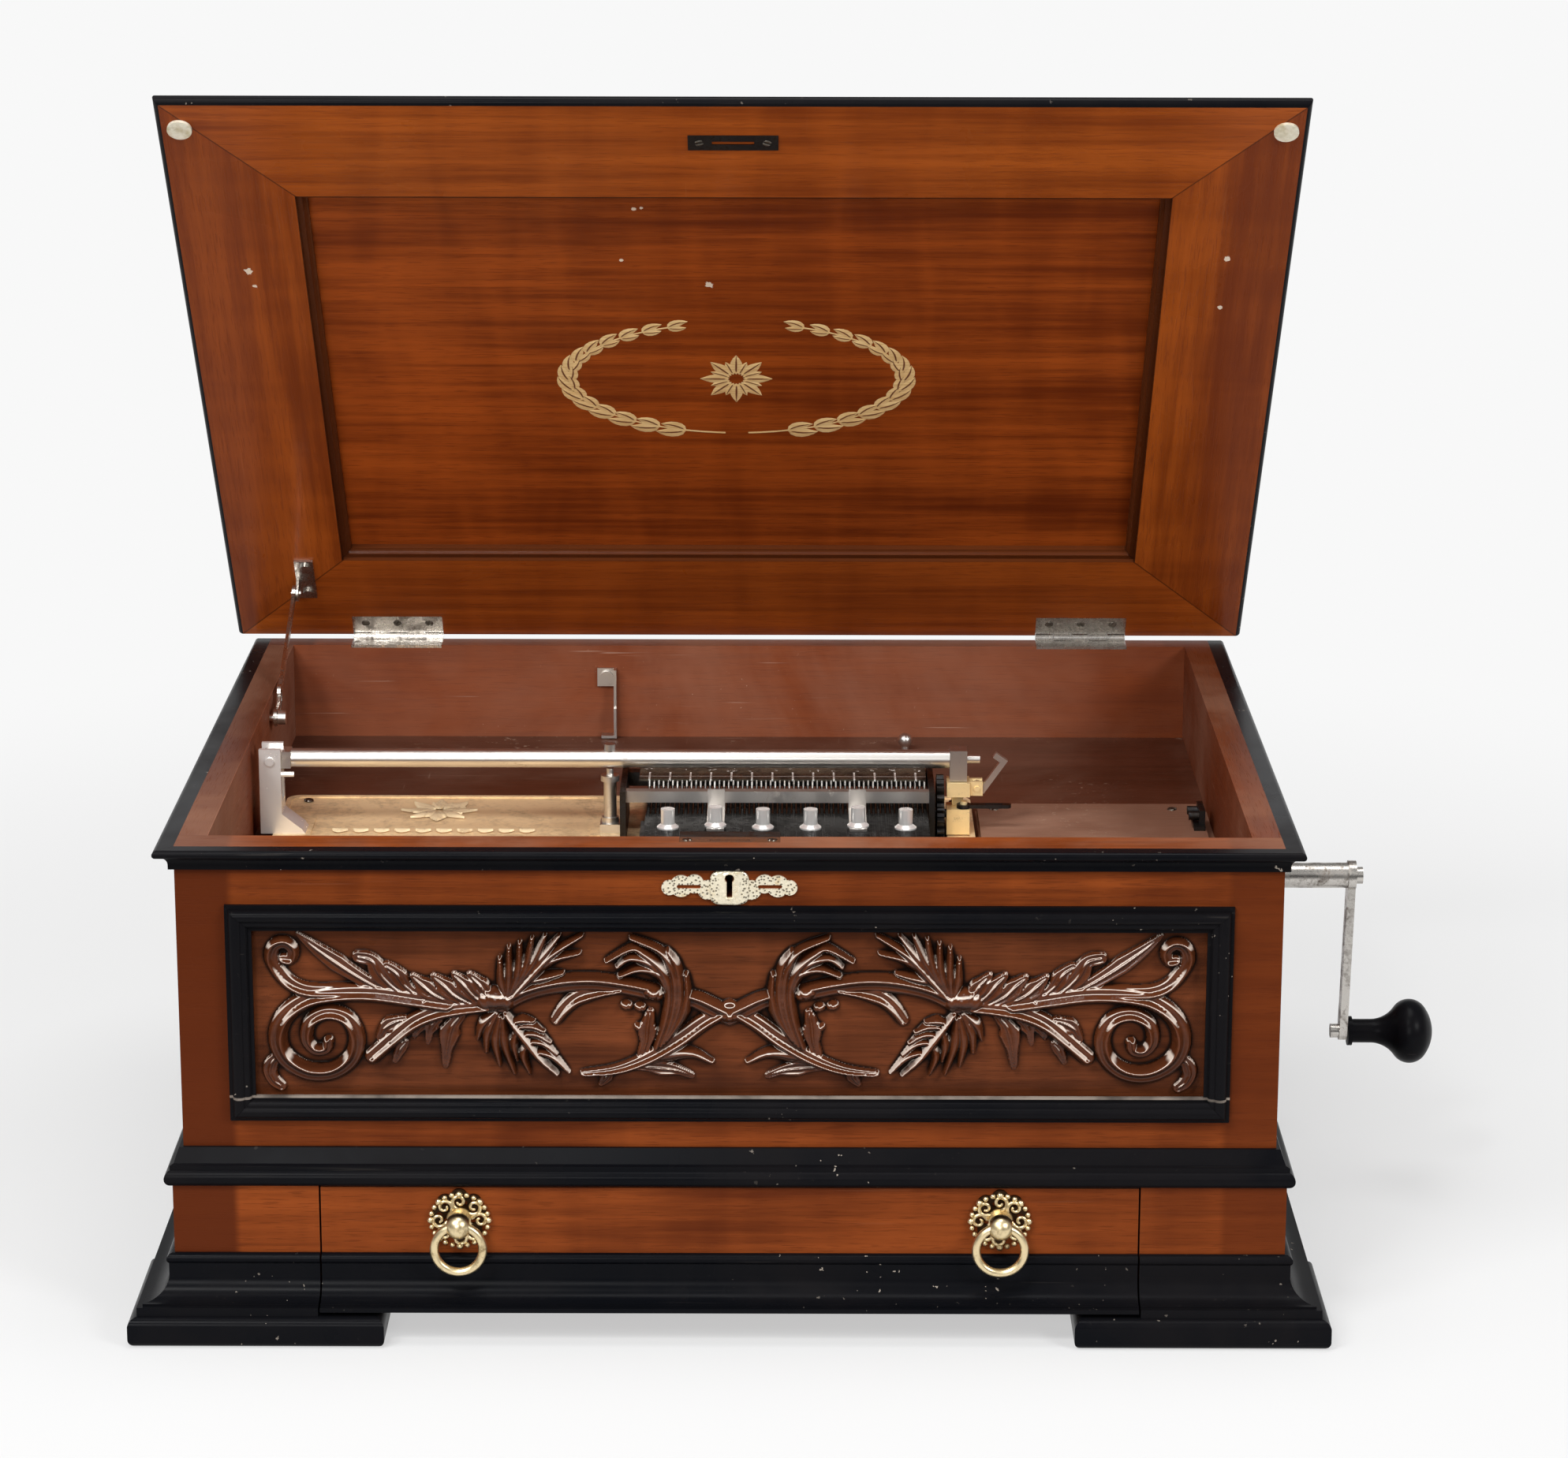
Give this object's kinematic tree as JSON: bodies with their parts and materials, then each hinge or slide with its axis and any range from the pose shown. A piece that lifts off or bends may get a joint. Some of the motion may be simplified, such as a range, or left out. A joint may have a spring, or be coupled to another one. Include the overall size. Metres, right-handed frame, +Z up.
{
  "type": "disc music box",
  "caption": "Mahogany table music box for steel discs with ebonised mouldings, carved front panel, open lid on a stay, comb and star wheel movement, side crank and disc drawer.",
  "frame": {"origin": "floor plane, under the middle of the upper case", "axes": "+X to the crank side (right seen from the front), +Y to the back, +Z up"},
  "size_m": [0.8852, 0.6025, 0.7846],
  "materials": {
    "mahogany": "french polished, aged",
    "carved_wood": "carved, dark varnish",
    "ebonised": "black lacquer",
    "brass": "old lacquered brass",
    "gilt": "gilt paint, mottled",
    "nickel": "worn nickel plate",
    "steel": "dark steel",
    "ivory": "bone, smooth"
  },
  "bodies": {
    "case": {"feet": "ebonised", "plinth_walls": "mahogany", "slide_board": "mahogany", "battens": "mahogany", "base_moulding": "ebonised", "waist_moulding": "ebonised", "case_floor": "mahogany", "case_front": "mahogany", "case_sides": "mahogany", "case_back": "mahogany", "rim_moulding": "ebonised", "panel_frame": "ebonised", "carved_panel": "carved_wood", "escutcheon": "brass", "lock": "brass", "deck": "mahogany", "motor_cover": "mahogany", "cover_catch": "steel", "bedplate": "gilt", "comb_base": "steel", "comb": "steel", "comb_screws": "nickel", "gantry": "steel", "scale_plate": "nickel", "damper_rail": "nickel", "bar_post": "nickel", "spindle_post": "nickel", "latch_post": "brass", "hinge_case_leaves": "nickel", "studs": "nickel", "motor_plates": "brass", "arbor_bush": "brass"},
    "lid": {"lid_frame": "mahogany", "lid_panel": "mahogany", "lid_edge": "ebonised", "lid_pads": "ivory", "strike_plate": "steel", "hinge_lid_leaves": "nickel", "stay_bracket": "nickel"},
    "stay": {"lid_stay": "nickel"},
    "bar": {"pressure_bar": "nickel"},
    "latch": {"bar_latch": "nickel"},
    "stars": {"star_wheels": "nickel"},
    "sprocket": {"drive_sprocket": "steel"},
    "second": {"second_wheel": "brass"},
    "governor": {"governor_fan": "brass"},
    "barrel": {"spring_barrel": "brass"},
    "winder": {"winding_wheel": "brass"},
    "crank": {"winding_arbor": "nickel", "crank_arm": "nickel"},
    "knob": {"crank_knob": "ebonised"},
    "stop": {"stop_lever": "steel"},
    "prop": {"prop_arm": "nickel"},
    "drawer": {"drawer_front": "mahogany", "drawer_tray": "mahogany", "drawer_moulding": "ebonised", "pull_plates": "brass"},
    "ring_left": {"pull_ring_left": "brass"},
    "ring_right": {"pull_ring_right": "brass"}
  },
  "joints": [
    {"name": "lid_hinge", "type": "hinge", "parent": "case", "child": "lid", "pos_m": [0, 0.281, 0.3312], "axis": [-1, 0, 0], "range_deg": [-50.7, 0]},
    {"name": "stay_pivot", "type": "hinge", "parent": "lid", "child": "stay", "pos_m": [-0.332, 0.23443, 0.37578], "axis": [-1, 0, 0], "range_deg": [0, 70.92]},
    {"name": "bar_hinge", "type": "hinge", "parent": "case", "child": "bar", "pos_m": [-0.323, -0.0125, 0.316], "axis": [0, -1, 0], "range_deg": [0, 45]},
    {"name": "latch_hinge", "type": "hinge", "parent": "case", "child": "latch", "pos_m": [0.1691, -0.0125, 0.296], "axis": [0, -1, 0], "range_deg": [0, 35]},
    {"name": "star_spin", "type": "hinge", "parent": "case", "child": "stars", "pos_m": [0.03, -0.0125, 0.2915], "axis": [1, 0, 0], "continuous": true},
    {"name": "barrel_spin", "type": "hinge", "parent": "case", "child": "barrel", "pos_m": [0.198, -0.0125, 0.167], "axis": [1, 0, 0], "continuous": true},
    {"name": "second_spin", "type": "hinge", "parent": "case", "child": "second", "pos_m": [0.2, 0.02677, 0.2188], "axis": [1, 0, 0], "continuous": true},
    {"name": "sprocket_spin", "type": "hinge", "parent": "case", "child": "sprocket", "pos_m": [0.143, -0.0125, 0.27675], "axis": [1, 0, 0], "continuous": true},
    {"name": "governor_spin", "type": "hinge", "parent": "case", "child": "governor", "pos_m": [0.2, 0.08585, 0.22922], "axis": [1, 0, 0], "continuous": true},
    {"name": "crank_spin", "type": "hinge", "parent": "case", "child": "crank", "pos_m": [0.4, -0.0125, 0.232], "axis": [1, 0, 0], "continuous": true},
    {"name": "winding_spin", "type": "hinge", "parent": "case", "child": "winder", "pos_m": [0.25, -0.0125, 0.167], "axis": [1, 0, 0], "continuous": true},
    {"name": "knob_spin", "type": "hinge", "parent": "crank", "child": "knob", "pos_m": [0.43386, -0.0125, 0.11703], "axis": [1, 0, 0], "continuous": true},
    {"name": "stop_turn", "type": "hinge", "parent": "case", "child": "stop", "pos_m": [0.16, -0.0175, 0.2835], "axis": [0, 0, 1], "range_deg": [-20, 20]},
    {"name": "prop_swing", "type": "hinge", "parent": "case", "child": "prop", "pos_m": [-0.1, 0.2582, 0.306], "axis": [0, -1, 0], "range_deg": [-60, 60]},
    {"name": "drawer_slide", "type": "slide", "parent": "case", "child": "drawer", "axis": [0, -1, 0], "range_m": [0, 0.36]},
    {"name": "ring_left_hinge", "type": "hinge", "parent": "drawer", "child": "ring_left", "pos_m": [-0.176, -0.3015, 0.08], "axis": [-1, 0, 0], "range_deg": [0, 85]},
    {"name": "ring_right_hinge", "type": "hinge", "parent": "drawer", "child": "ring_right", "pos_m": [0.176, -0.3015, 0.08], "axis": [-1, 0, 0], "range_deg": [0, 85]}
  ],
  "couplings": [
    {"joint": "stay_pivot", "follows": "lid_hinge", "ratio": -1.3929},
    {"joint": "second_spin", "follows": "barrel_spin", "ratio": -3.3333},
    {"joint": "sprocket_spin", "follows": "barrel_spin", "ratio": 6},
    {"joint": "governor_spin", "follows": "barrel_spin", "ratio": 10},
    {"joint": "winding_spin", "follows": "crank_spin", "ratio": -0.3}
  ]
}
